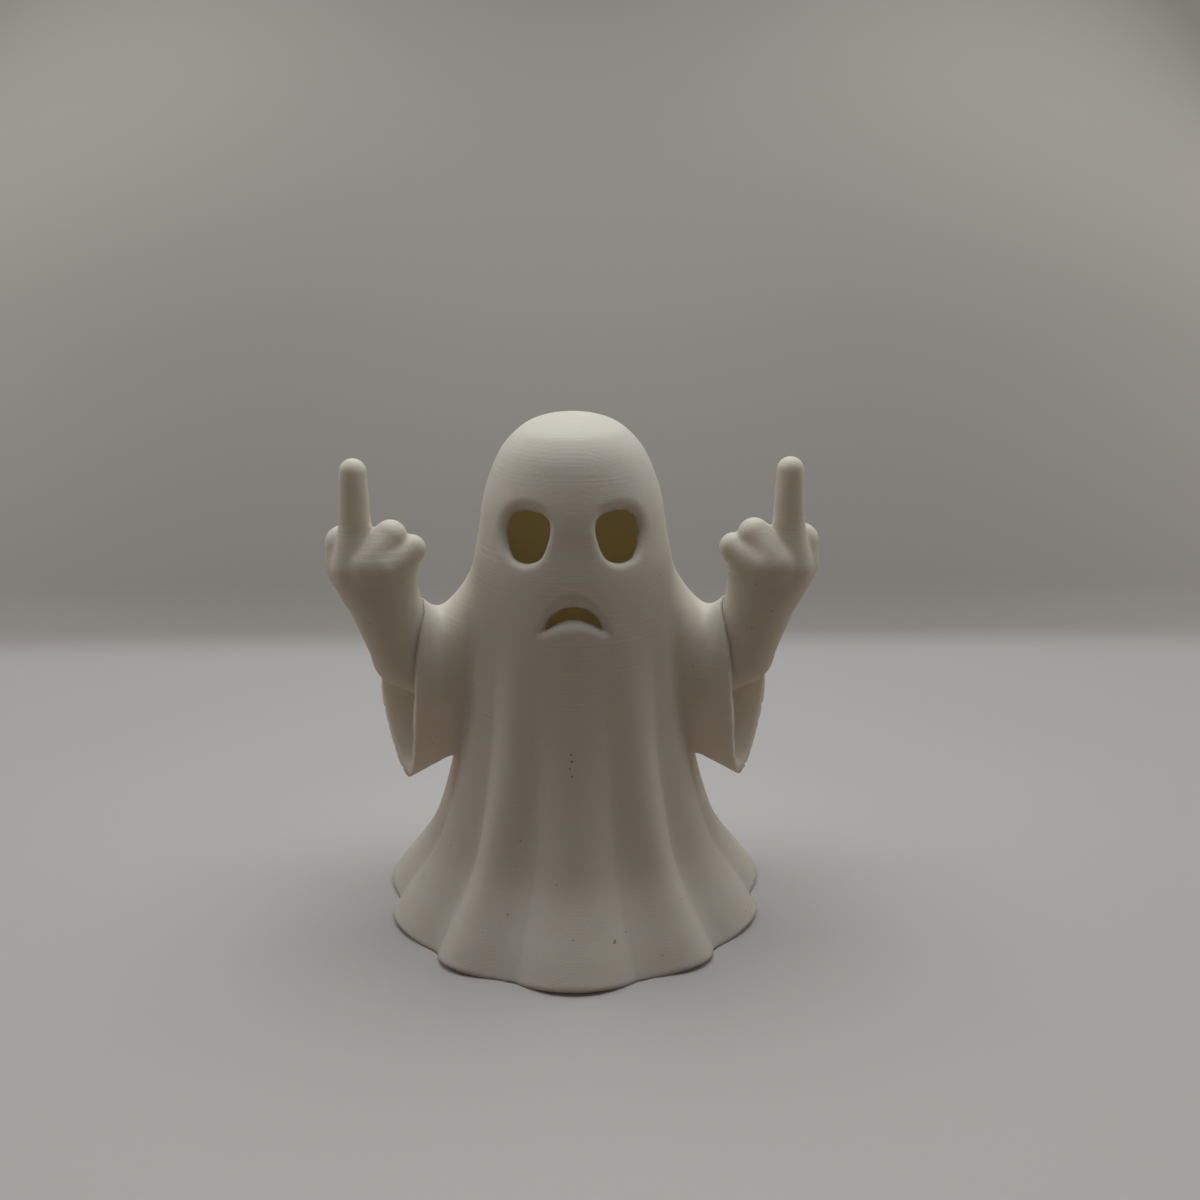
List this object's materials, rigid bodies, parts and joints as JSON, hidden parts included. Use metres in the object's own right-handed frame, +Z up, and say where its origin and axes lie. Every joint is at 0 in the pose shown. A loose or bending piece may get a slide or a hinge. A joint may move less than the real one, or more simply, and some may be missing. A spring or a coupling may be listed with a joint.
{
  "type": "ghost figurine",
  "caption": "Standing hollow ghost figurine in a draped sheet with flared folds, open eyes and mouth, bell sleeves and raised arms with fists and lifted middle fingers.",
  "frame": {"origin": "on the table, at the middle of the hem, under the crown of the head", "axes": "+Z up, the face looks along -Y, the figure's left hand is on the +X side"},
  "size_m": [0.0934, 0.0788, 0.1],
  "materials": {
    "robe_plastic": "warm white printed plastic with fine layer lines",
    "arm_plastic": "warm white printed plastic with fine layer lines"
  },
  "bodies": {
    "root": {"robe_shell": "robe_plastic", "left_arm": "arm_plastic", "right_arm": "arm_plastic"}
  },
  "joints": []
}
